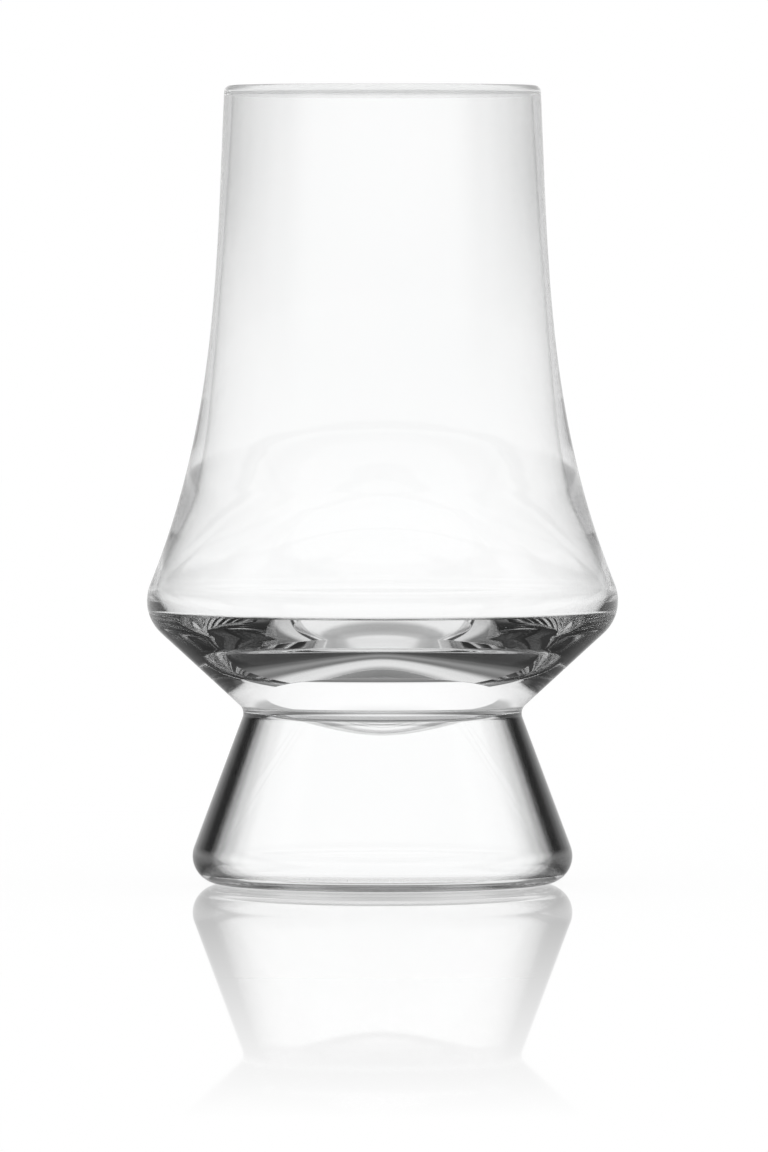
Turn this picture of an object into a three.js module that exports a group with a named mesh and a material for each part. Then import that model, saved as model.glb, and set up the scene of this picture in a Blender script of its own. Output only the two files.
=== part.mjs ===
// Footed whisky glass: a blown bowl with a tall chimney stands on a hollow blown foot, and the two are
// joined hot at the waist. Millimetres, +Z up, origin on the axis in the plane that the glass stands on.
import * as THREE from "three";

// Outside of the glass: radii and heights of its corners, before they are rounded
const HEIGHT = 120;
const RIM_RADIUS = 23.8;
const SHOULDER_RADIUS = 36.65;
const SHOULDER_HEIGHT = 40.8;
const WAIST_RADIUS = 20.65;
const WAIST_HEIGHT = 26.1;
const FOOT_RADIUS = 30.4;

// Roundings of those corners
const SHOULDER_ROUNDING = 6.6;
const WAIST_ROUNDING = 1.7;
const FOOT_ROUNDING = 4.15;

// Chimney, outside: how far it leans in from upright at each end, in degrees, and the height that each
// lean carries before the wall turns towards the other
const SHOULDER_LEAN = 22;
const SHOULDER_PULL = 25.4;
const RIM_LEAN = 2.6;
const RIM_PULL = 24.7;

// Chimney, inside: from the lip down to the throat, where the bowl opens out into its belly
const THROAT_HEIGHT = 62.2;
const THROAT_ROUNDING = 30;
const THROAT_LEAN = 8.7;
const THROAT_PULL = 10.5;
const INNER_RIM_LEAN = 2.7;
const INNER_RIM_PULL = 19.4;

// Belly, inside: from the throat down to the inner shoulder
const BELLY_TOP_LEAN = 20;
const BELLY_LEAN = 12;
const BELLY_PULL = 7;

// The lip is rounded more on its outside than on its inside, and the two roundings make up its thickness
const LIP_OUTER_ROUNDING = 1;
const LIP_INNER_ROUNDING = 0.26;

// Thickness of the glass: the walls are measured level, the foot's side square to its slope
const THROAT_WALL = 2.1;
const SHOULDER_WALL = 1.65;
const FOOT_WALL = 2.4;
const FOOT_FLOOR = 1.6;

// Bottom of the bowl, inside: a steep ring at the shoulder, a shallow ring and a flat well in the middle
const INNER_SHOULDER_LIFT = 0.1;
const INNER_SHOULDER_ROUNDING = 0.6;
const STEEP_RISE = 3.2;
const SHALLOW_RADIUS = 26;
const SHALLOW_RISE = 1.4;
const SHALLOW_ROUNDING = 8;
const WELL_RADIUS = 12.3;
const WELL_ROUNDING = 2;

// Bottom of the bowl, below: a dome that hangs into the foot, flat over a share of its radius
const DOME_DROP = 4;
const DOME_FLATNESS = 0.34;

// Seam between the pieces: how much higher it is inside than outside
const SEAM_RISE = 0.5;

// Inside of the foot, where its side meets its floor
const FOOT_INNER_ROUNDING = 1.6;

// How finely the round shapes are cut into flats
const SIDES = 64;
const ARC_STEP = 14;
const CURVE_STEPS = 10;

const at = (radius, height) => new THREE.Vector2(radius, height);
const slope = (degrees) => Math.tan(THREE.MathUtils.degToRad(degrees));

// The arc that rounds a corner between two straight stretches of an outline.
function rounding(before, corner, after, radius) {
  const back = before.clone().sub(corner).normalize();
  const onward = after.clone().sub(corner).normalize();
  const halfAngle = Math.acos(back.dot(onward)) / 2;
  const centre = back.clone().add(onward).setLength(radius / Math.sin(halfAngle)).add(corner);
  const reach = radius / Math.tan(halfAngle);
  const start = back.clone().multiplyScalar(reach).add(corner).sub(centre);
  const end = onward.clone().multiplyScalar(reach).add(corner).sub(centre);
  const clockwise = back.cross(onward) > 0;
  return new THREE.EllipseCurve(
    centre.x, centre.y, radius, radius, start.angle(), end.angle(), clockwise,
  );
}

// A quarter of a circle, turned from the radius towards the height.
function quarter(radius, height, size, start) {
  return new THREE.EllipseCurve(radius, height, size, size, start, start + Math.PI / 2);
}

// The radius of a wall at a height, found by halving the stretch of the curve that holds it.
function radiusAt(curve, height) {
  let [low, high] = [0, 1];
  for (let halving = 0; halving < 40; halving++) {
    const middle = (low + high) / 2;
    if (curve.getPoint(middle).y < height) low = middle;
    else high = middle;
  }
  return curve.getPoint(low).x;
}

// The points of an outline given as corners and curves.
function outline(stretches) {
  return stretches.flatMap((stretch) => {
    if (stretch.isVector2) return [stretch];
    if (!stretch.isEllipseCurve) return stretch.getPoints(CURVE_STEPS);
    const turn = stretch.getTangent(0).angleTo(stretch.getTangent(1));
    return stretch.getPoints(Math.ceil(THREE.MathUtils.radToDeg(turn) / ARC_STEP));
  });
}

// A named piece of glass, turned about the upright axis from its outline.
function turned(name, stretches) {
  const geometry = new THREE.LatheGeometry(outline(stretches), SIDES);
  geometry.rotateX(Math.PI / 2);
  const glass = new THREE.MeshStandardMaterial({
    color: 0xf4f7f7,
    roughness: 0.02,
    metalness: 0,
    transparent: true,
    opacity: 0.35,
  });
  const mesh = new THREE.Mesh(geometry, glass);
  mesh.name = name;
  return mesh;
}

// Outside corners, and the roundings that both pieces share
const axisBase = at(0, 0);
const footCorner = at(FOOT_RADIUS, 0);
const waist = at(WAIST_RADIUS, WAIST_HEIGHT);
const shoulder = at(SHOULDER_RADIUS, SHOULDER_HEIGHT);
const aboveShoulder = at(SHOULDER_RADIUS - slope(SHOULDER_LEAN), SHOULDER_HEIGHT + 1);
const waistArc = rounding(footCorner, waist, shoulder, WAIST_ROUNDING);
const narrowest = Math.PI;

// The seam is the ring at the narrowest part of the waist, as wide as the foot's wall.
const footLean = Math.atan2(FOOT_RADIUS - WAIST_RADIUS, WAIST_HEIGHT);
const footInset = FOOT_WALL / Math.cos(footLean);
const footInner = (height) => FOOT_RADIUS - Math.tan(footLean) * height - footInset;
const seamHeight = waistArc.aY + SEAM_RISE;
const seamInner = at(footInner(seamHeight), seamHeight);

// Half of the waist's rounding, below or above the seam.
function waistHalf(start, end) {
  return new THREE.EllipseCurve(
    waistArc.aX, waistArc.aY, WAIST_ROUNDING, WAIST_ROUNDING, start, end, waistArc.aClockwise,
  );
}

function makeFoot() {
  const floorCorner = at(footInner(FOOT_FLOOR), FOOT_FLOOR);
  const axisFloor = at(0, FOOT_FLOOR);
  return turned("foot", [
    axisBase,
    rounding(axisBase, footCorner, waist, FOOT_ROUNDING),
    waistHalf(waistArc.aStartAngle, narrowest),
    seamInner,
    rounding(seamInner, floorCorner, axisFloor, FOOT_INNER_ROUNDING),
    axisFloor,
  ]);
}

function makeBowl() {
  const shoulderArc = rounding(waist, shoulder, aboveShoulder, SHOULDER_ROUNDING);
  const chimneyFoot = shoulderArc.getPoint(1);
  const chimneyTop = at(RIM_RADIUS, HEIGHT - LIP_OUTER_ROUNDING);
  const chimney = new THREE.CubicBezierCurve(
    chimneyFoot,
    at(chimneyFoot.x - slope(SHOULDER_LEAN) * SHOULDER_PULL, chimneyFoot.y + SHOULDER_PULL),
    at(RIM_RADIUS + slope(RIM_LEAN) * RIM_PULL, chimneyTop.y - RIM_PULL),
    chimneyTop,
  );

  const lipRadius = RIM_RADIUS - LIP_OUTER_ROUNDING;
  const lipOuter = quarter(lipRadius, chimneyTop.y, LIP_OUTER_ROUNDING, 0);
  const lipInner = quarter(lipRadius, HEIGHT - LIP_INNER_ROUNDING, LIP_INNER_ROUNDING, Math.PI / 2);
  const innerTop = at(lipRadius - LIP_INNER_ROUNDING, HEIGHT - LIP_INNER_ROUNDING);

  const throat = at(radiusAt(chimney, THROAT_HEIGHT) - THROAT_WALL, THROAT_HEIGHT);
  const aboveThroat = at(throat.x - slope(THROAT_LEAN) * THROAT_PULL, THROAT_HEIGHT + THROAT_PULL);
  const bellyTop = at(throat.x + slope(BELLY_TOP_LEAN) * BELLY_PULL, THROAT_HEIGHT - BELLY_PULL);
  const throatArc = rounding(aboveThroat, throat, bellyTop, THROAT_ROUNDING);
  const innerChimney = new THREE.CubicBezierCurve(
    innerTop,
    at(innerTop.x + slope(INNER_RIM_LEAN) * INNER_RIM_PULL, innerTop.y - INNER_RIM_PULL),
    aboveThroat,
    throatArc.getPoint(0),
  );

  const innerShoulder = at(SHOULDER_RADIUS - SHOULDER_WALL, SHOULDER_HEIGHT + INNER_SHOULDER_LIFT);
  const shallowEdge = at(SHALLOW_RADIUS, innerShoulder.y - STEEP_RISE);
  const wellEdge = at(WELL_RADIUS, shallowEdge.y - SHALLOW_RISE);
  const wellCentre = at(0, wellEdge.y);
  const belly = at(innerShoulder.x - slope(BELLY_LEAN) * BELLY_PULL, innerShoulder.y + BELLY_PULL);
  const innerShoulderArc = rounding(belly, innerShoulder, shallowEdge, INNER_SHOULDER_ROUNDING);
  const innerBelly = new THREE.CubicBezierCurve(
    throatArc.getPoint(1), bellyTop, belly, innerShoulderArc.getPoint(0),
  );

  const domeCentre = at(0, seamHeight - DOME_DROP);
  const dome = new THREE.QuadraticBezierCurve(
    domeCentre, at(seamInner.x * DOME_FLATNESS, domeCentre.y), seamInner,
  );

  return turned("bowl", [
    dome,
    waistHalf(narrowest, waistArc.aEndAngle),
    shoulderArc,
    chimney,
    lipOuter,
    lipInner,
    innerChimney,
    throatArc,
    innerBelly,
    innerShoulderArc,
    rounding(innerShoulder, shallowEdge, wellEdge, SHALLOW_ROUNDING),
    rounding(shallowEdge, wellEdge, wellCentre, WELL_ROUNDING),
    wellCentre,
  ]);
}

const glass = new THREE.Group();
glass.add(makeBowl(), makeFoot());
export default glass;
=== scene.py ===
# %% [markdown]
# # A footed whisky glass
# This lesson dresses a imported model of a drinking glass. The glass has two pieces, a blown bowl with
# a tall chimney and a hollow blown foot, joined hot at the waist. Glass has almost no colour of its
# own, so its looks come from three things: a truly round surface, the thickness of the wall inside,
# and what stands around it.

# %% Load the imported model
import math

import bmesh
import bpy
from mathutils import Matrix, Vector
from mathutils.geometry import interpolate_bezier


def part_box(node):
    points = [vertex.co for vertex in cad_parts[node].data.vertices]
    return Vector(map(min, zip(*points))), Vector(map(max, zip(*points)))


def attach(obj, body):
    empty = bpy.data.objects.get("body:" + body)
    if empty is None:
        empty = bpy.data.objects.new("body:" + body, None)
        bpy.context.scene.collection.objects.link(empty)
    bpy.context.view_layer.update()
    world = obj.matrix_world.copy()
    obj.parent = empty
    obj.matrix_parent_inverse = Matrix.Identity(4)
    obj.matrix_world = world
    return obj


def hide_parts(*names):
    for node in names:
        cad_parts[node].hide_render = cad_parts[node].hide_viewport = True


MM = 0.001


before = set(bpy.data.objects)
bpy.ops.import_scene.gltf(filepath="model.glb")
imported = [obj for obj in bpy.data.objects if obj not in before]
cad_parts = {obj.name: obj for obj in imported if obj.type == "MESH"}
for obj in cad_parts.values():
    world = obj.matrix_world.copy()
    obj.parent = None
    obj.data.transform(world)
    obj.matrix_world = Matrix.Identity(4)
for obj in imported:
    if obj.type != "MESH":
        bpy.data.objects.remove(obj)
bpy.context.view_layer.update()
print("nodes in the frame:", sorted(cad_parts))

# %% [markdown]
# ## Sizes
# The outline of a turned object is a short list of corners, each with a rounding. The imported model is
# cut into flats, so only its height is read from it. The corners outside are named here, in
# millimetres, and all other sizes where they are first needed.

# %% Name the corners
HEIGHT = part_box("bowl")[1].z / MM
SHOULDER_RADIUS = 36.65
SHOULDER_HEIGHT = 40.8
WAIST_RADIUS = 20.65
WAIST_HEIGHT = 26.1
FOOT_RADIUS = 30.4

foot_corner = (FOOT_RADIUS, 0)
waist = (WAIST_RADIUS, WAIST_HEIGHT)
shoulder = (SHOULDER_RADIUS, SHOULDER_HEIGHT)
print("height of the glass, mm:", round(HEIGHT, 2))

# %% [markdown]
# ## A pen for outlines
# A turned piece starts as half of its section, drawn in the plane of X and Z. Typing hundreds of
# points would work, but nobody could change them later. Instead a pen draws straight lines by
# extruding a vertex, rounds a corner by spinning that vertex about the centre of the rounding, and
# follows a Bezier curve for a blown wall.

# %% Define the pen
ARC_STEP = math.radians(4)
CURVE_POINTS = 48
QUARTER_TURN = math.pi / 2


def start_at(bm, radius, height):
    return bmesh.ops.create_vert(bm, co=(radius * MM, 0, height * MM))["vert"][0]


def line_to(bm, tip, point):
    tip = bmesh.ops.extrude_vert_indiv(bm, verts=[tip])["verts"][0]
    tip.co = (point[0] * MM, 0, point[1] * MM)
    return tip


def arc_to(bm, tip, centre, sweep):
    """Swings the pen about a centre; a positive sweep turns from the radius towards the height."""
    steps = max(1, math.ceil(abs(sweep) / ARC_STEP))
    made = bmesh.ops.spin(bm, geom=[tip], cent=(centre[0] * MM, 0, centre[1] * MM),
                          axis=(0, -1, 0), angle=sweep, steps=steps, use_duplicate=False)
    return made["geom_last"][0]


def curve_to(bm, tip, handle, far_handle, end):
    here = Vector((tip.co.x / MM, tip.co.z / MM))
    points = interpolate_bezier(here, Vector(handle), Vector(far_handle), Vector(end), CURVE_POINTS)
    for point in points[1:]:
        tip = line_to(bm, tip, point)
    return tip


print("pen: arcs in steps of", round(math.degrees(ARC_STEP)), "degrees,",
      "curves of", CURVE_POINTS, "points")

# %% [markdown]
# ## Rounding a corner
# Every corner of blown glass is round, because the surface was liquid. The arc that fits a corner
# touches both of its sides, so its centre lies on the line that halves the angle. The same few lines
# of geometry serve the foot's edge, the waist, the shoulder and the inside.

# %% Define the rounding
WAIST_ROUNDING = 1.7


def fitted_arc(before, corner, after, radius):
    """The start, the centre and the sweep of the arc that rounds a corner."""
    corner = Vector(corner)
    back = (Vector(before) - corner).normalized()
    onward = (Vector(after) - corner).normalized()
    half = back.angle(onward) / 2
    centre = corner + (back + onward).normalized() * (radius / math.sin(half))
    start = corner + back * (radius / math.tan(half))
    sweep = math.copysign(math.pi - 2 * half, back.y * onward.x - back.x * onward.y)
    return start, centre, sweep


def round_corner(bm, tip, before, corner, after, radius):
    start, centre, sweep = fitted_arc(before, corner, after, radius)
    tip = line_to(bm, tip, start)
    return arc_to(bm, tip, centre, sweep)


waist_start, waist_centre, waist_sweep = fitted_arc(foot_corner, waist, shoulder, WAIST_ROUNDING)
print("waist rounding turns", round(math.degrees(waist_sweep), 1), "degrees")

# %% [markdown]
# ## The seam
# The foot is joined to the bowl while both are hot, at the narrowest part of the waist. The two
# pieces meet on a ring as wide as the foot's wall. The glass runs on through the join without a gap,
# so light must not notice it.

# %% Place the seam
FOOT_WALL = 2.42
SEAM_RISE = 0.5

foot_lean = math.atan2(FOOT_RADIUS - WAIST_RADIUS, WAIST_HEIGHT)


def foot_inside(height):
    return FOOT_RADIUS - math.tan(foot_lean) * height - FOOT_WALL / math.cos(foot_lean)


seam_outer = (waist_centre.x - WAIST_ROUNDING, waist_centre.y)
seam_inner = (foot_inside(seam_outer[1] + SEAM_RISE), seam_outer[1] + SEAM_RISE)
below_seam = math.atan2(waist_centre.y - waist_start.y, waist_centre.x - waist_start.x)
print("seam ring from", [round(c, 2) for c in seam_inner], "to", [round(c, 2) for c in seam_outer])

# %% [markdown]
# ## Telling the surfaces apart
# A glass has several surfaces that look a little different: the outer walls, the inner walls with the
# dome under the bowl, the lip and the seam. They could be picked by hand, but the way a face points
# and its height tell as much. Each face gets the number of its finish. The two edges of the seam ring
# are made sharp, so that the smooth shading of the outside doesn't lean towards the ring.

# %% Define the surfaces
SEAM_FACE, OUTER_FACE, INNER_FACE, LIP_FACE = 1, 2, 3, 4
UPRIGHT = 0.8
SEAM_REACH = 0.01
DOME_LOWEST = 22.1
LIP_OUTER_ROUNDING = 1.0
MERGE = 1e-6


def on_seam(vert):
    place = (math.hypot(vert.co.x, vert.co.y) / MM, vert.co.z / MM)
    return any(math.dist(place, ring) < SEAM_REACH for ring in (seam_inner, seam_outer))


def tell_surface(face):
    middle = face.calc_center_median()
    outward = face.normal.dot(Vector((middle.x, middle.y, 0)).normalized())
    height = middle.z / MM
    if outward > UPRIGHT and not waist_centre.y < height < SHOULDER_HEIGHT:
        face.material_index = OUTER_FACE
    if outward < -UPRIGHT or (face.normal.z < 0 and DOME_LOWEST < height < seam_inner[1]):
        face.material_index = INNER_FACE
    if height > HEIGHT - LIP_OUTER_ROUNDING:
        face.material_index = LIP_FACE
    if all(on_seam(vert) for vert in face.verts):
        face.material_index = SEAM_FACE
        for edge in face.edges:
            first, second = edge.verts
            edge.smooth = abs(first.co.z - second.co.z) > MERGE


print("a face belongs to a wall if it points outwards or inwards by more than", UPRIGHT)

# %% [markdown]
# ## Turning an outline
# A full spin about the upright axis makes the piece. The points on the axis fall on each other and
# are merged, so the poles are closed, and then all faces are turned outwards.

# %% Define the turning
TURN_STEPS = 288


def turned_piece(name, bm):
    bmesh.ops.spin(bm, geom=bm.verts[:] + bm.edges[:], cent=(0, 0, 0), axis=(0, 0, 1),
                   angle=2 * math.pi, steps=TURN_STEPS, use_merge=True, use_duplicate=False)
    bmesh.ops.remove_doubles(bm, verts=bm.verts, dist=MERGE)
    bmesh.ops.recalc_face_normals(bm, faces=bm.faces)
    for face in bm.faces:
        face.smooth = True
        tell_surface(face)
    mesh = bpy.data.meshes.new(name)
    bm.to_mesh(mesh)
    bm.free()
    piece = bpy.data.objects.new(name, mesh)
    bpy.context.scene.collection.objects.link(piece)
    print(name, "has", len(mesh.polygons), "faces")
    return piece


print("a turn has", TURN_STEPS, "steps")

# %% [markdown]
# ## The foot
# The foot is a bubble of glass, shaped to a cone with a flat floor. Its wall is thin, so it looks
# clear in the middle and dark along its sides, where the light is turned away. A solid cone would act
# as a strong lens instead, which is why the inside is drawn as carefully as the outside.

# %% Turn the foot
FOOT_ROUNDING = 4.15
FOOT_FLOOR = 1.6
FOOT_INNER_ROUNDING = 1.6

floor_corner = (foot_inside(FOOT_FLOOR), FOOT_FLOOR)
floor_centre = (0, FOOT_FLOOR)
bm = bmesh.new()
tip = start_at(bm, 0, 0)
tip = round_corner(bm, tip, (0, 0), foot_corner, waist, FOOT_ROUNDING)
tip = line_to(bm, tip, waist_start)
tip = arc_to(bm, tip, waist_centre, -below_seam)
tip = line_to(bm, tip, seam_inner)
tip = round_corner(bm, tip, seam_inner, floor_corner, floor_centre, FOOT_INNER_ROUNDING)
tip = line_to(bm, tip, floor_centre)
blown_foot = turned_piece("blown_foot", bm)

# %% [markdown]
# ## The bowl, outside
# The bowl hangs into the foot with a shallow dome, which closes the foot's hollow. From the seam its
# underside flares out to the shoulder, and from there the wall rises in one long curve to the lip. A
# blown wall has no straight stretch, so the curve is given only by how much it leans at each end, in
# degrees, and how far each lean carries.

# %% Define the lean of a wall
SHOULDER_LEAN = 22
RIM_LEAN = 2.6


def along_wall(point, degrees, rise):
    """The place on a wall that leans in from a point, after a rise; a negative rise goes down it."""
    return (point[0] - math.tan(math.radians(degrees)) * rise, point[1] + rise)


def on_the_way(first, second, share):
    return [a + (b - a) * share for a, b in zip(first, second)]


print("the wall leans by", SHOULDER_LEAN, "degrees at the shoulder and", RIM_LEAN, "at the rim")

# %% Draw the bowl's outside
# A curve with one handle is a curve with two that lie two thirds of the way to it
HANDLE_SHARE = 2 / 3
DOME_FLATNESS = 0.34
SHOULDER_ROUNDING = 6.6
SHOULDER_PULL = 25.4
ONE_UP = 1
RIM_RADIUS = 23.8
RIM_PULL = 24.7
LIP_INNER_ROUNDING = 0.26

dome_centre = (0, DOME_LOWEST)
dome_handle = (seam_inner[0] * DOME_FLATNESS, DOME_LOWEST)
dome_handles = [on_the_way(end, dome_handle, HANDLE_SHARE) for end in (dome_centre, seam_inner)]
bm = bmesh.new()
tip = start_at(bm, *dome_centre)
tip = curve_to(bm, tip, *dome_handles, seam_inner)
tip = line_to(bm, tip, seam_outer)
tip = arc_to(bm, tip, waist_centre, waist_sweep + below_seam)
above_shoulder = along_wall(shoulder, SHOULDER_LEAN, ONE_UP)
tip = round_corner(bm, tip, waist, shoulder, above_shoulder, SHOULDER_ROUNDING)
wall_foot = (tip.co.x / MM, tip.co.z / MM)
wall_top = (RIM_RADIUS, HEIGHT - LIP_OUTER_ROUNDING)
wall_handles = (along_wall(wall_foot, SHOULDER_LEAN, SHOULDER_PULL),
                along_wall(wall_top, RIM_LEAN, -RIM_PULL))
tip = curve_to(bm, tip, *wall_handles, wall_top)
lip_radius = RIM_RADIUS - LIP_OUTER_ROUNDING
tip = arc_to(bm, tip, (lip_radius, HEIGHT - LIP_OUTER_ROUNDING), QUARTER_TURN)
tip = arc_to(bm, tip, (lip_radius, HEIGHT - LIP_INNER_ROUNDING), QUARTER_TURN)
print("the long curve starts at", [round(c, 2) for c in wall_foot])

# %% [markdown]
# ## The bowl, inside
# The pen goes on down the inside, because light bends there as much as outside. The chimney narrows
# to the throat and opens out into the belly. The bowl carries most of its glass in the bottom, where
# a shallow dish leads to a flat well. Light that enters through the flaring underside is mirrored by
# the well, and that is the bright lens that shows above the waist.

# %% Draw the chimney's inside
THROAT_HEIGHT = 62.2
THROAT_WALL = 2.1
THROAT_LEAN = 8.7
THROAT_PULL = 10.5
THROAT_ROUNDING = 30
INNER_RIM_LEAN = 2.7
INNER_RIM_PULL = 19.4
BELLY_TOP_LEAN = 20
BELLY_PULL = 7
WALL_SAMPLES = 400

wall_ends = [Vector(point) for point in (wall_foot, *wall_handles, wall_top)]
outer_wall = interpolate_bezier(*wall_ends, WALL_SAMPLES)
at_throat = min(outer_wall, key=lambda point: abs(point.y - THROAT_HEIGHT))
throat = (at_throat.x - THROAT_WALL, THROAT_HEIGHT)
above_throat = along_wall(throat, THROAT_LEAN, THROAT_PULL)
belly_top = along_wall(throat, BELLY_TOP_LEAN, -BELLY_PULL)
inner_top = (lip_radius - LIP_INNER_ROUNDING, HEIGHT - LIP_INNER_ROUNDING)
below_lip = along_wall(inner_top, INNER_RIM_LEAN, -INNER_RIM_PULL)
start, centre, sweep = fitted_arc(above_throat, throat, belly_top, THROAT_ROUNDING)
tip = curve_to(bm, tip, below_lip, above_throat, start)
tip = arc_to(bm, tip, centre, sweep)
print("throat, mm across:", round(2 * throat[0], 2))

# %% Draw the bowl's bottom and turn the bowl
BELLY_LEAN = 12
INNER_SHOULDER = (35.0, 40.9)
INNER_SHOULDER_ROUNDING = 0.6
DISH_EDGE = (26, 37.74)
DISH_ROUNDING = 8
WELL_EDGE = (12.3, 36.37)
WELL_ROUNDING = 2

belly = along_wall(INNER_SHOULDER, BELLY_LEAN, BELLY_PULL)
start, centre, sweep = fitted_arc(belly, INNER_SHOULDER, DISH_EDGE, INNER_SHOULDER_ROUNDING)
tip = curve_to(bm, tip, belly_top, belly, start)
tip = arc_to(bm, tip, centre, sweep)
well_centre = (0, WELL_EDGE[1])
tip = round_corner(bm, tip, INNER_SHOULDER, DISH_EDGE, WELL_EDGE, DISH_ROUNDING)
tip = round_corner(bm, tip, DISH_EDGE, WELL_EDGE, well_centre, WELL_ROUNDING)
tip = line_to(bm, tip, well_centre)
blown_bowl = turned_piece("blown_bowl", bm)
print("bottom of the bowl, mm thick:", round(WELL_EDGE[1] - DOME_LOWEST, 2))

# %% [markdown]
# ## Painted dark edges
# A wall that is looked along looks dark, and here that shade is painted into the glass's colour. Real
# absorption would need glass far greyer than this one, so a finish can have painted shade that deepens
# with the slant of the view, in soft steps. Layer Weight gives that slant. The painted shade can also
# grow with the height.

# %% Define the painted edge shade
def soft_steps(tree, value, steps):
    """Greys that pass softly from step to step, over a value from 0 to 1."""
    ramp = tree.nodes.new("ShaderNodeValToRGB")
    ramp.color_ramp.interpolation = "EASE"
    stops = ramp.color_ramp.elements
    for stop, (_, bright) in zip(stops, (steps[0], steps[-1])):
        stop.color = (bright, bright, bright, 1)
    for position, bright in steps[1:-1]:
        stops.new(position).color = (bright, bright, bright, 1)
    tree.links.new(value, ramp.inputs["Fac"])
    return ramp.outputs["Color"]


def painted_edge_shade(tree, place, surface_colour, steps, low, high):
    """Paints shade over a colour, deeper with the slant of the view, fully at the high height and not
    at the low one.
    """
    slant = tree.nodes.new("ShaderNodeLayerWeight")
    split = tree.nodes.new("ShaderNodeSeparateXYZ")
    tree.links.new(place, split.inputs["Vector"])
    height = tree.nodes.new("ShaderNodeMapRange")
    height.inputs["From Min"].default_value = low * MM
    height.inputs["From Max"].default_value = high * MM
    tree.links.new(split.outputs["Z"], height.inputs["Value"])
    # The colour is multiplied by the painted shade
    deeper = tree.nodes.new("ShaderNodeMix")
    deeper.data_type = "RGBA"
    deeper.blend_type = "MULTIPLY"
    tree.links.new(height.outputs["Result"], deeper.inputs["Factor"])
    tree.links.new(surface_colour, deeper.inputs["A"])
    tree.links.new(soft_steps(tree, slant.outputs["Facing"], steps), deeper.inputs["B"])
    return deeper.outputs["Result"]


# The edge steps are painted shade, from none seen square on to the most seen along the wall
print("edge tints: soft steps over the slant, 0 seen square on, 1 seen along the wall")

# %% [markdown]
# ## Clear glass
# Clear glass is one shader: it bends light by its index, and mirrors it more the flatter it comes in.
# Blown glass is never perfectly even, so a soft noise tilts the surface by a hair, and the tint
# drifts by about a hundredth. Bloom is the thin film on a handled glass, and haze is the share of the
# light that a surface scatters. The seam has to vanish, so its finish lets all light pass.

# %% Define the glass
GLASS_INDEX = 1.52
WHITE = (1, 1, 1, 1)
FAINT = (0.985, 0.99, 0.99, 1)
WAVE_DETAIL = 1
UNEVENNESS = 0.006
BLOOM_ROUGHNESS = 0.2


def clear_glass(name, wave_size, edge=None, bloom=0, haze=0):
    material = bpy.data.materials.new(name)
    material.use_nodes = True
    tree = material.node_tree
    shader = tree.nodes["Principled BSDF"]
    shader.inputs["Roughness"].default_value = 0
    shader.inputs["IOR"].default_value = GLASS_INDEX
    shader.inputs["Transmission Weight"].default_value = 1 - haze
    shader.inputs["Sheen Weight"].default_value = bloom
    shader.inputs["Sheen Roughness"].default_value = BLOOM_ROUGHNESS
    place = tree.nodes.new("ShaderNodeTexCoord").outputs["Object"]
    waves = tree.nodes.new("ShaderNodeTexNoise")
    waves.inputs["Scale"].default_value = 1 / (wave_size * MM)
    waves.inputs["Detail"].default_value = WAVE_DETAIL
    tree.links.new(place, waves.inputs["Vector"])
    drift = tree.nodes.new("ShaderNodeMix")
    drift.data_type = "RGBA"
    drift.inputs["A"].default_value = WHITE
    drift.inputs["B"].default_value = FAINT
    tree.links.new(waves.outputs["Fac"], drift.inputs["Factor"])
    surface_colour = drift.outputs["Result"]
    # The edge steps paint shade into the glass's colour
    if edge:
        surface_colour = painted_edge_shade(tree, place, surface_colour, *edge)
    tree.links.new(surface_colour, shader.inputs["Base Color"])
    tilt = tree.nodes.new("ShaderNodeBump")
    tilt.inputs["Distance"].default_value = UNEVENNESS * MM
    tree.links.new(waves.outputs["Fac"], tilt.inputs["Height"])
    tree.links.new(tilt.outputs["Normal"], shader.inputs["Normal"])
    return material


def fused_seam(name):
    material = bpy.data.materials.new(name)
    material.use_nodes = True
    shader = material.node_tree.nodes["Principled BSDF"]
    shader.inputs["Alpha"].default_value = 0
    shader.inputs["IOR"].default_value = GLASS_INDEX
    return material


print("glass with an index of", GLASS_INDEX, "that is uneven by", UNEVENNESS, "mm")

# %% [markdown]
# ## Finishes
# The glass is the same all through, but its surfaces differ. The foot's outside turns the light away
# along its sides, so the shade painted on its edges is nearly black and thins a little towards the
# base.
# The bowl's outside has a light grey painted shade that grows from the throat to the rim, and its inner
# wall has a thin painted dark line. The lip was melted round in a flame and is a little hazy.

# %% Mix the finishes
BOWL_WAVES = 18
# Painted shade on the bowl's outside edges, by the slant of the view, growing from the throat to the
# rim
BOWL_PAINTED_SHADE = ((0, 1.0), (0.08, 0.98), (0.22, 0.79), (0.34, 0.71), (0.47, 0.65), (0.6, 0.56), (1, 0.6))
BOWL_PAINTED_SHADE_LOW = 60
BOWL_BLOOM = 0.6
# A thin painted dark line where the inner wall is seen nearly along
INNER_PAINTED_LINE = ((0, 1.0), (0.78, 1.0), (0.9, 0.4), (1, 0.15))
LIP_BLOOM = 1
LIP_HAZE = 0.4
FOOT_WAVES = 14
# Painted shade, nearly black, along the foot's outside edges
FOOT_PAINTED_SHADE = ((0, 1.0), (0.3, 1.0), (0.363, 0.88), (0.442, 0.52), (0.508, 0.22), (0.564, 0.02),
             (0.6, 0.002), (0.64, 0.0005), (1, 0.002))
FOOT_PAINTED_SHADE_LOW, FOOT_PAINTED_SHADE_HIGH = -80, 5.6

# Painted shade that has grown fully below the base is the same at all heights
ALL_HEIGHTS = (-2, -1)

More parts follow.
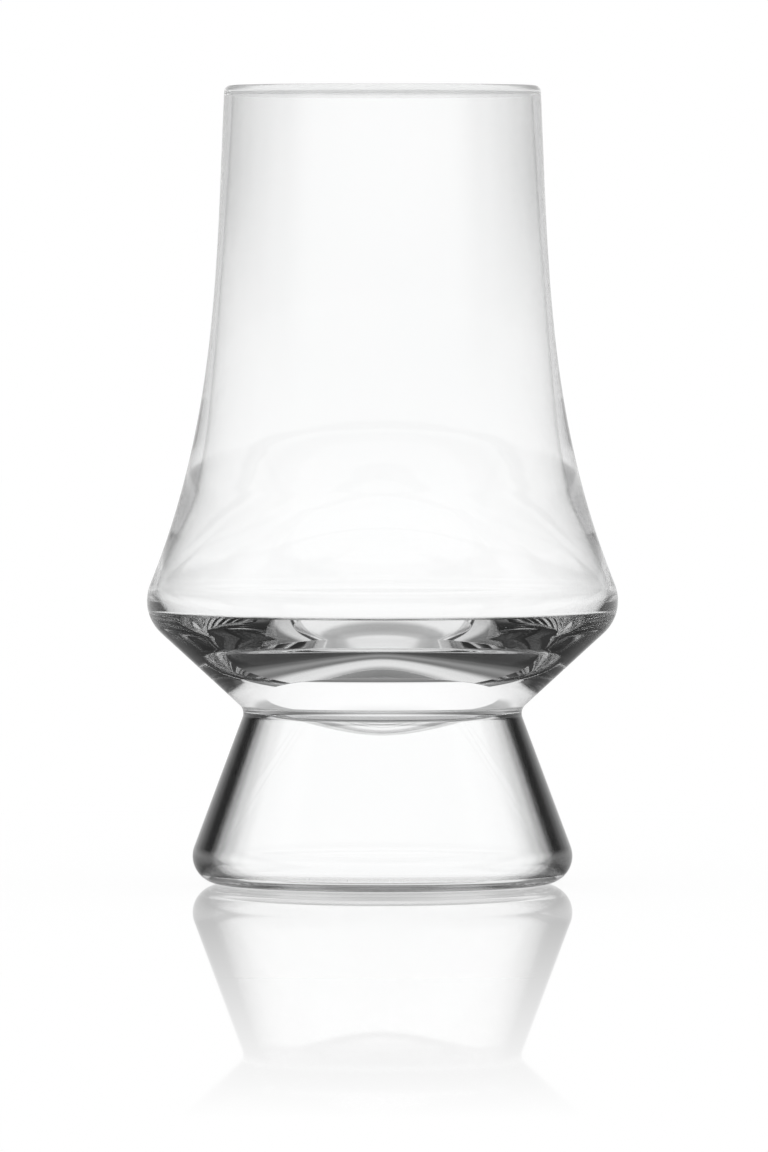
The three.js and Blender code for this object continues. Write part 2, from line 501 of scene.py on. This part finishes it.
# The outside and inside finishes carry the painted edge shade
clear_bowl = clear_glass("clear_bowl", BOWL_WAVES)
outside_bowl = clear_glass("outside_bowl", BOWL_WAVES, (BOWL_PAINTED_SHADE, BOWL_PAINTED_SHADE_LOW, HEIGHT), BOWL_BLOOM)
inside_bowl = clear_glass("inside_bowl", BOWL_WAVES, (INNER_PAINTED_LINE, *ALL_HEIGHTS))
lip_bowl = clear_glass("lip_bowl", BOWL_WAVES, bloom=LIP_BLOOM, haze=LIP_HAZE)
clear_foot = clear_glass("clear_foot", FOOT_WAVES)
outside_foot = clear_glass("outside_foot", FOOT_WAVES, (FOOT_PAINTED_SHADE, FOOT_PAINTED_SHADE_LOW, FOOT_PAINTED_SHADE_HIGH))
seam = fused_seam("fused_seam")
print("finishes:", [finish.name for finish in (clear_bowl, outside_bowl, inside_bowl, lip_bowl,
                                               clear_foot, outside_foot, seam)])

# %% Give each piece its glass
# Each list is in the order of the faces' numbers: all other faces, seam, outer, inner and lip
bowl_finishes = (clear_bowl, seam, outside_bowl, inside_bowl, lip_bowl)
foot_finishes = (clear_foot, seam, outside_foot, clear_foot)
for piece, node, finishes in ((blown_bowl, "bowl", bowl_finishes),
                              (blown_foot, "foot", foot_finishes)):
    for finish in finishes:
        piece.data.materials.append(finish)
    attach(piece, "root")
    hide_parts(node)
    print(piece.name, "has", len(finishes), "finishes")

# %% [markdown]
# ## The studio
# Glass is photographed before a bright field with dark cards around it, so that its edges draw
# themselves. Here the sky has soft steps of brightness over the elevation, in degrees, and is the
# same all the way round, so that the glass looks alike from every side. One set of steps would do for
# a thin vase, but thick glass mixes light that went many ways. So each kind of light has its own
# steps, by how often it was mirrored inside the glass and how many surfaces it crossed, and light
# that the outside mirrors has another.

# %% Name the bright and dark fields
STRAIGHT = ((-90, 1.05), (90, 1.05))
ONCE = ((-90, 0.85), (-73, 0.85), (-69, 0.4), (-63, 0.4), (-58, 0.85), (-55, 0.45), (-50, 0.95),
        (-38, 0.9), (-33, 0.3), (-13, 0.2), (-9, 0.95), (-2, 1.08), (3.5, 1.1), (6.5, 0.65),
        (10, 0.55), (22, 0.65), (50, 0.65), (65, 0.85), (90, 1.1))
ONCE_BEHIND = ((-90, 0.9), (-75, 0.85), (-71, 0.5), (-67, 0.4), (-63, 0.45), (-59, 0.9),
               (-50, 0.95), (-46, 0.5), (-37, 0.5), (-33, 1.0), (-25, 1.0), (-22.5, 0.2),
               (-18.5, 0.2), (-16, 1.0), (20, 1.0), (36, 0.25), (42, 0.12), (50, 0.2),
               (56, 0.45), (62, 0.8), (90, 1.1))
ONCE_FAR_BEHIND = ((-90, 0.9), (-14, 0.9), (-9, 0.55), (0, 0.5), (3, 0.06), (19, 0.06), (25, 0.9),
                   (90, 1.0))
TWICE = ((-90, 0.6), (-46, 0.6), (-40, 0.35), (-33, 0.8), (-27, 0.8), (-22, 0.2), (-15, 0.05),
         (10, 0.04), (20, 0.2), (30, 0.25), (50, 0.35), (70, 0.4), (90, 0.6))
THREE_TIMES = ((-90, 0.1), (-48, 0.12), (-43, 0.3), (-38, 0.85), (-34, 0.8), (-29, 0.2), (-24, 0.3),
               (-19, 0.15), (-14, 0.05), (-8, 0.03), (10, 0.02), (30, 0.1), (45, 0.85), (90, 1.0))
THREE_TIMES_BEHIND = ((-90, 0.1), (-48, 0.12), (-43, 0.3), (-38, 0.85), (90, 0.95))
MANY_TIMES = ((-90, 0.5), (-60, 0.5), (-45, 0.08), (-30, 0.02), (-14, 0.015), (-7, 0.03),
              (6, 0.025), (15, 0.015), (36, 0.04), (42, 0.5), (60, 0.5), (75, 0.9), (90, 1.0))
ALL_ROUND = ((-90, 0.1), (-18, 0.1), (-11, 0.55), (8, 0.55), (14, 0.1), (20, 0.1), (26, 0.8),
             (48, 0.8), (56, 0.1), (90, 0.1))
OUTSIDE = ((-90, 0.2), (-30, 0.08), (-15, 0.2), (-4, 0.55), (1, 0.7), (5, 0.55), (8, 0.35),
           (10.5, 0.12), (13, 0.06), (20, 0.1), (24, 0.4), (32, 0.9), (44, 1.05), (90, 1.1))

# Each field with the least number of mirrorings and of crossings from which it holds
FIELDS = ((0, 1, STRAIGHT), (1, 1, ONCE), (1, 3, ONCE_BEHIND), (1, 5, ONCE_FAR_BEHIND),
          (2, 1, TWICE), (3, 1, THREE_TIMES), (3, 3, THREE_TIMES_BEHIND), (4, 1, MANY_TIMES),
          (19, 1, ALL_ROUND))
print("fields of light:", len(FIELDS) + 1)

# %% [markdown]
# ## Lighting the glass
# Lamps and cards could stand round the glass, but each would serve one kind of light and spoil
# another. The world's own shader is simpler. Its Light Path node counts mirrorings and crossings, and
# each field takes over from those before it where both counts are high enough. Only light that
# reaches the sky sharply sees the fields. Matt surfaces get plain white light, and the camera sees
# white behind the glass.

# %% Define the sky's parts
NADIR, ZENITH = -90, 90
HALF = 0.5


def choose(tree, factor, first, second):
    mix = tree.nodes.new("ShaderNodeMix")
    mix.data_type = "RGBA"
    tree.links.new(factor, mix.inputs["Factor"])
    for socket, value in (("A", first), ("B", second)):
        if isinstance(value, tuple):
            mix.inputs[socket].default_value = value
        else:
            tree.links.new(value, mix.inputs[socket])
    return mix.outputs["Result"]


def math_node(tree, operation, first, second=None):
    node = tree.nodes.new("ShaderNodeMath")
    node.operation = operation
    tree.links.new(first, node.inputs[0])
    if isinstance(second, (int, float)):
        node.inputs[1].default_value = second
    elif second is not None:
        tree.links.new(second, node.inputs[1])
    return node.outputs["Value"]


def at_least(tree, count, least):
    return math_node(tree, "GREATER_THAN", count, least - HALF)


def over_elevation(tree, elevation, steps):
    shares = [((degrees - NADIR) / (ZENITH - NADIR), bright) for degrees, bright in steps]
    return soft_steps(tree, elevation, shares)


print("elevations from", NADIR, "to", ZENITH, "degrees")

# %% Light the glass
world = bpy.data.worlds.new("studio")
bpy.context.scene.world = world
world.use_nodes = True
sky = world.node_tree
direction = sky.nodes.new("ShaderNodeTexCoord")
split = sky.nodes.new("ShaderNodeSeparateXYZ")
sky.links.new(direction.outputs["Generated"], split.inputs["Vector"])
elevation = math_node(sky, "ARCSINE", split.outputs["Z"])
elevation = math_node(sky, "DIVIDE", elevation, math.pi)
elevation = math_node(sky, "ADD", elevation, HALF)
path = sky.nodes.new("ShaderNodeLightPath")
field = over_elevation(sky, elevation, OUTSIDE)
for mirrored, crossed, steps in FIELDS:
    often = at_least(sky, path.outputs["Glossy Depth"], mirrored)
    deep = at_least(sky, path.outputs["Transmission Depth"], crossed)
    both = math_node(sky, "MULTIPLY", often, deep)
    field = choose(sky, both, field, over_elevation(sky, elevation, steps))
seen = choose(sky, path.outputs["Is Singular Ray"], WHITE, field)
seen = choose(sky, path.outputs["Is Camera Ray"], seen, WHITE)
sky.links.new(seen, sky.nodes["Background"].inputs["Color"])
print("sky with", len(sky.nodes), "nodes")

# %% [markdown]
# ## The table
# The glass stands on a white, softly polished table. A table that fills the frame needs no edge and
# no backdrop. It lies a hair under the glass, so that the two faces don't fight. What the glass shows
# of it is already in the sky's lower half, so the glass doesn't see the table itself.

# %% Lay the table
TABLE_SIZE = 3.0
TABLE_GAP = 0.0001

bm = bmesh.new()
bmesh.ops.create_grid(bm, x_segments=1, y_segments=1, size=TABLE_SIZE)
bmesh.ops.translate(bm, verts=bm.verts, vec=(0, 0, -TABLE_GAP))
table_mesh = bpy.data.meshes.new("table")
bm.to_mesh(table_mesh)
bm.free()
table = bpy.data.objects.new("table", table_mesh)
bpy.context.scene.collection.objects.link(table)
table.visible_transmission = False
table.visible_glossy = False
print("table laid", TABLE_GAP / MM, "mm under the glass")

# %% [markdown]
# ## The table's polish
# The table is white for the camera, takes a little of the shadow at the foot, and mirrors the glass
# faintly, less and less further out. A plain white surface would turn grey where the light falls
# unevenly, so most of it glows, and a small share is matt and takes the shadow.

# %% Polish the table
TABLE_SHADOW = 0.15
TABLE_ROUGHNESS = 0.02
TABLE_SHINE = 0.6
SHINE_REACH = 0.48

top = bpy.data.materials.new("white_table")
top.use_nodes = True
nodes, links = top.node_tree.nodes, top.node_tree.links
nodes.remove(nodes["Principled BSDF"])
glow = nodes.new("ShaderNodeEmission")
matt = nodes.new("ShaderNodeBsdfDiffuse")
matt.inputs["Color"].default_value = WHITE
shine = nodes.new("ShaderNodeBsdfGlossy")
shine.inputs["Color"].default_value = WHITE
shine.inputs["Roughness"].default_value = TABLE_ROUGHNESS
shaded = nodes.new("ShaderNodeMixShader")
shaded.inputs["Fac"].default_value = TABLE_SHADOW
links.new(glow.outputs["Emission"], shaded.inputs[1])
links.new(matt.outputs["BSDF"], shaded.inputs[2])
place = nodes.new("ShaderNodeTexCoord")
away = nodes.new("ShaderNodeVectorMath")
away.operation = "LENGTH"
links.new(place.outputs["Object"], away.inputs[0])
fade = nodes.new("ShaderNodeMapRange")
fade.inputs["From Max"].default_value = SHINE_REACH
fade.inputs["To Min"].default_value = TABLE_SHINE
fade.inputs["To Max"].default_value = 0
links.new(away.outputs["Value"], fade.inputs["Value"])
polished = nodes.new("ShaderNodeMixShader")
links.new(fade.outputs["Result"], polished.inputs["Fac"])
links.new(shaded.outputs["Shader"], polished.inputs[1])
links.new(shine.outputs["BSDF"], polished.inputs[2])
links.new(polished.outputs["Shader"], nodes["Material Output"].inputs["Surface"])
table_mesh.materials.append(top)
print("table mirrors", TABLE_SHINE, "of the light under the glass")

# %% [markdown]
# ## The camera
# A long lens keeps the outline nearly flat. The camera's height comes from the row of the picture
# where the rim would be seen edge on, and its distance from how fast the ellipses open below that
# row. The axis stands a little left of the middle, so the camera turns by a hair instead of shifting
# its lens.

# %% Set the camera
FRAME_WIDTH, FRAME_HEIGHT = 768, 1152
GLASS_ROWS = 798.3
BASE_ROW = 883.7
HORIZON_ROW = 236
AXIS_COLUMN = 382.5
CAMERA_DISTANCE = 1.807
SENSOR = 36

pixel = HEIGHT * MM / GLASS_ROWS
focal_pixels = CAMERA_DISTANCE / pixel
lens = bpy.data.cameras.new("camera")
lens.sensor_width = SENSOR
lens.lens = focal_pixels / FRAME_HEIGHT * SENSOR
camera = bpy.data.objects.new("camera", lens)
bpy.context.scene.collection.objects.link(camera)
camera.location = (0, -CAMERA_DISTANCE, (BASE_ROW - HORIZON_ROW) * pixel)
tilt_down = math.atan((FRAME_HEIGHT / 2 - HORIZON_ROW) / focal_pixels)
turn_left = math.atan((AXIS_COLUMN - FRAME_WIDTH / 2) / focal_pixels)
camera.rotation_euler = (QUARTER_TURN - tilt_down, 0, turn_left)
bpy.context.scene.camera = camera
print("lens", round(lens.lens, 1), "mm,",
      "camera", round(camera.location.z / MM, 1), "mm above the table")

# %% [markdown]
# ## Last settings
# Thick glass passes a ray on many times, so the limits on bounces are raised. The picture's colours
# are left as the lights give them. The two boxes are kept, so that the dressed glass can be compared
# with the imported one.

# %% Finish
BOUNCES = 48

scene = bpy.context.scene
scene.cycles.max_bounces = BOUNCES
scene.cycles.glossy_bounces = BOUNCES
scene.cycles.transmission_bounces = BOUNCES
scene.view_settings.view_transform = "Standard"
